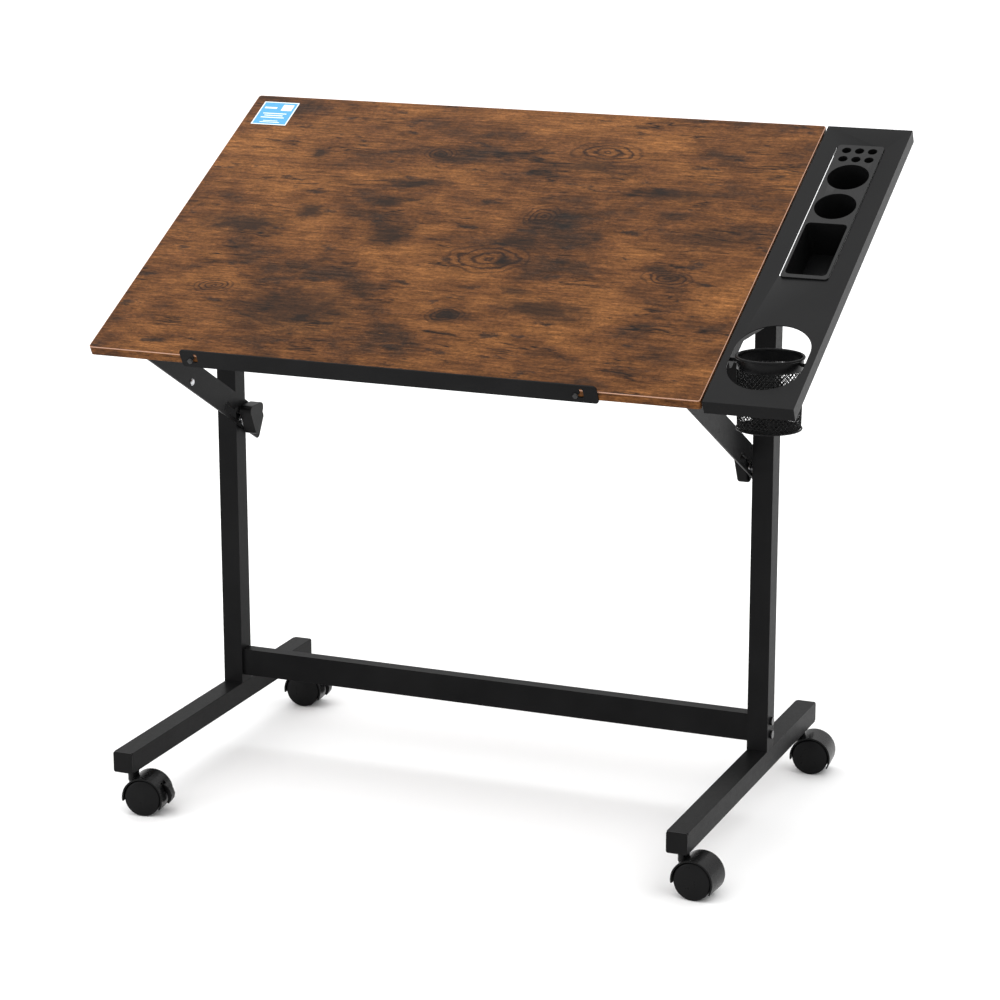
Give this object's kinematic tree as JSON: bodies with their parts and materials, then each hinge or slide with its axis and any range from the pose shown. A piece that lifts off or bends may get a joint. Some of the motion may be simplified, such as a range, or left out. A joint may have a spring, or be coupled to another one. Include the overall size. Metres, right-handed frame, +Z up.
{
  "type": "drafting table",
  "caption": "Free-standing drafting table on casters: tilting wood-effect top with a steel side panel, hanging basket, organiser tray and paper ledge on two tubular side frames.",
  "frame": {"origin": "on the floor, under the middle of the table's bounding box at rest, with the top tilted 27.5 degrees", "axes": "+Z up, +X to the user's right, towards the side panel; -Y towards the user, at the low edge of the top"},
  "size_m": [1, 0.5982, 0.958],
  "materials": {
    "powder_coat": "satin black powder coat",
    "panel_coat": "satin black powder coat",
    "wood": "rustic brown wood-effect laminate, satin",
    "banding": "rustic brown wood-effect edge banding, satin",
    "label": "printed sticker, satin",
    "black_plastic": "fine-grained black plastic",
    "organiser_plastic": "fine-grained black plastic",
    "wheel_plastic": "satin black nylon",
    "hood_plastic": "satin black nylon",
    "basket_coat": "semi-gloss black coating",
    "zinc": "zinc-plated steel",
    "black_screw": "blackened steel"
  },
  "bodies": {
    "frame": {"left_foot": "powder_coat", "right_foot": "powder_coat", "left_upright": "powder_coat", "right_upright": "powder_coat", "left_top_rail": "powder_coat", "right_top_rail": "powder_coat", "crossbar": "powder_coat", "upper_crossbar": "powder_coat", "crossbar_bolts": "zinc", "foot_end_caps": "black_plastic", "rail_end_caps": "black_plastic", "rail_pads": "black_plastic", "clamp_inserts": "zinc", "caster_stems": "zinc"},
    "tabletop": {"tabletop_board": "wood", "edge_banding": "banding", "label": "label", "left_tilt_bracket": "powder_coat", "right_tilt_bracket": "powder_coat", "bracket_screws": "zinc", "hinge_bolts": "zinc", "arm_pivot_bolts": "zinc", "ledge_screws": "black_screw", "side_panel": "panel_coat", "panel_spacers": "black_plastic", "panel_screws": "zinc", "basket_hangers": "powder_coat"},
    "paper_ledge": {"paper_ledge": "powder_coat"},
    "organiser": {"organiser_tray": "organiser_plastic"},
    "basket": {"basket_rim": "basket_coat", "basket_band": "basket_coat", "basket_mesh": "basket_coat", "basket_floor": "basket_coat"},
    "left_arm": {"left_arm": "powder_coat", "left_arm_rivet": "zinc"},
    "left_clamp": {"left_clamp_stud": "zinc"},
    "left_knob": {"left_knob": "black_plastic"},
    "right_arm": {"right_arm": "powder_coat", "right_arm_rivet": "zinc"},
    "right_clamp": {"right_clamp_stud": "zinc"},
    "right_knob": {"right_knob": "black_plastic"},
    "front_left_caster": {"front_left_hood": "hood_plastic", "front_left_axle": "zinc"},
    "front_left_outer_wheel": {"front_left_outer_wheel": "wheel_plastic"},
    "front_left_inner_wheel": {"front_left_inner_wheel": "wheel_plastic"},
    "front_left_brake": {"front_left_brake_lever": "hood_plastic"},
    "rear_left_caster": {"rear_left_hood": "hood_plastic", "rear_left_axle": "zinc"},
    "rear_left_outer_wheel": {"rear_left_outer_wheel": "wheel_plastic"},
    "rear_left_inner_wheel": {"rear_left_inner_wheel": "wheel_plastic"},
    "rear_left_brake": {"rear_left_brake_lever": "hood_plastic"},
    "front_right_caster": {"front_right_hood": "hood_plastic", "front_right_axle": "zinc"},
    "front_right_outer_wheel": {"front_right_outer_wheel": "wheel_plastic"},
    "front_right_inner_wheel": {"front_right_inner_wheel": "wheel_plastic"},
    "rear_right_caster": {"rear_right_hood": "hood_plastic", "rear_right_axle": "zinc"},
    "rear_right_outer_wheel": {"rear_right_outer_wheel": "wheel_plastic"},
    "rear_right_inner_wheel": {"rear_right_inner_wheel": "wheel_plastic"}
  },
  "joints": [
    {"name": "tabletop_tilt", "type": "hinge", "parent": "frame", "child": "tabletop", "pos_m": [-0.0615, -0.12795, 0.731], "axis": [1, 0, 0], "range_deg": [-27.5, 32.5]},
    {"name": "paper_ledge_shift", "type": "slide", "parent": "tabletop", "child": "paper_ledge", "axis": [-1, 0, 0], "range_m": [0, 0.0085]},
    {"name": "organiser_lift", "type": "slide", "parent": "tabletop", "child": "organiser", "axis": [0, -0.4617, 0.887], "range_m": [0, 0.06]},
    {"name": "basket_swing", "type": "hinge", "parent": "tabletop", "child": "basket", "pos_m": [0.44, -0.20076, 0.71711], "axis": [1, 0, 0], "range_deg": [-28, 55]},
    {"name": "left_arm_pivot", "type": "hinge", "parent": "tabletop", "child": "left_arm", "pos_m": [-0.4554, -0.23522, 0.67798], "axis": [1, 0, 0], "range_deg": [-27, 23]},
    {"name": "left_clamp_slide", "type": "slide", "parent": "left_arm", "child": "left_clamp", "axis": [0, 0.8686, -0.4955], "range_m": [-0.0522, 0.0442]},
    {"name": "left_knob_turn", "type": "hinge", "parent": "left_clamp", "child": "left_knob", "pos_m": [-0.4419, 0.07505, 0.501], "axis": [-1, 0, 0], "continuous": true},
    {"name": "right_arm_pivot", "type": "hinge", "parent": "tabletop", "child": "right_arm", "pos_m": [0.3324, -0.23522, 0.67798], "axis": [1, 0, 0], "range_deg": [-27, 23]},
    {"name": "right_clamp_slide", "type": "slide", "parent": "right_arm", "child": "right_clamp", "axis": [0, 0.8686, -0.4955], "range_m": [-0.0522, 0.0442]},
    {"name": "right_knob_turn", "type": "hinge", "parent": "right_clamp", "child": "right_knob", "pos_m": [0.3189, 0.07505, 0.501], "axis": [1, 0, 0], "continuous": true},
    {"name": "front_left_swivel", "type": "hinge", "parent": "frame", "child": "front_left_caster", "pos_m": [-0.4745, -0.25295, 0.066], "axis": [0, 0, 1], "continuous": true},
    {"name": "front_left_outer_wheel_roll", "type": "hinge", "parent": "front_left_caster", "child": "front_left_outer_wheel", "pos_m": [-0.4547, -0.25016, 0.0265], "axis": [0.1392, -0.9903, 0], "continuous": true},
    {"name": "front_left_inner_wheel_roll", "type": "hinge", "parent": "front_left_caster", "child": "front_left_inner_wheel", "pos_m": [-0.4547, -0.25016, 0.0265], "axis": [0.1392, -0.9903, 0], "continuous": true},
    {"name": "front_left_brake_lift", "type": "hinge", "parent": "front_left_caster", "child": "front_left_brake", "pos_m": [-0.43291, -0.2471, 0.0395], "axis": [0.1392, -0.9903, 0], "range_deg": [0, 15]},
    {"name": "rear_left_swivel", "type": "hinge", "parent": "frame", "child": "rear_left_caster", "pos_m": [-0.4745, 0.26905, 0.066], "axis": [0, 0, 1], "continuous": true},
    {"name": "rear_left_outer_wheel_roll", "type": "hinge", "parent": "rear_left_caster", "child": "rear_left_outer_wheel", "pos_m": [-0.45461, 0.27114, 0.0265], "axis": [0.1045, -0.9945, 0], "continuous": true},
    {"name": "rear_left_inner_wheel_roll", "type": "hinge", "parent": "rear_left_caster", "child": "rear_left_inner_wheel", "pos_m": [-0.45461, 0.27114, 0.0265], "axis": [0.1045, -0.9945, 0], "continuous": true},
    {"name": "rear_left_brake_lift", "type": "hinge", "parent": "rear_left_caster", "child": "rear_left_brake", "pos_m": [-0.43273, 0.27344, 0.0395], "axis": [0.1045, -0.9945, 0], "range_deg": [0, 15]},
    {"name": "front_right_swivel", "type": "hinge", "parent": "frame", "child": "front_right_caster", "pos_m": [0.3515, -0.25295, 0.066], "axis": [0, 0, 1], "continuous": true},
    {"name": "front_right_outer_wheel_roll", "type": "hinge", "parent": "front_right_caster", "child": "front_right_outer_wheel", "pos_m": [0.37147, -0.25399, 0.0265], "axis": [-0.0523, -0.9986, 0], "continuous": true},
    {"name": "front_right_inner_wheel_roll", "type": "hinge", "parent": "front_right_caster", "child": "front_right_inner_wheel", "pos_m": [0.37147, -0.25399, 0.0265], "axis": [-0.0523, -0.9986, 0], "continuous": true},
    {"name": "rear_right_swivel", "type": "hinge", "parent": "frame", "child": "rear_right_caster", "pos_m": [0.3515, 0.26905, 0.066], "axis": [0, 0, 1], "continuous": true},
    {"name": "rear_right_outer_wheel_roll", "type": "hinge", "parent": "rear_right_caster", "child": "rear_right_outer_wheel", "pos_m": [0.37139, 0.27114, 0.0265], "axis": [0.1045, -0.9945, 0], "continuous": true},
    {"name": "rear_right_inner_wheel_roll", "type": "hinge", "parent": "rear_right_caster", "child": "rear_right_inner_wheel", "pos_m": [0.37139, 0.27114, 0.0265], "axis": [0.1045, -0.9945, 0], "continuous": true}
  ],
  "couplings": [
    {"joint": "left_arm_pivot", "follows": "tabletop_tilt", "ratio": -0.82},
    {"joint": "left_clamp_slide", "follows": "tabletop_tilt", "m_per_rad": -0.091673},
    {"joint": "right_arm_pivot", "follows": "tabletop_tilt", "ratio": -0.82},
    {"joint": "right_clamp_slide", "follows": "tabletop_tilt", "m_per_rad": -0.091673}
  ]
}
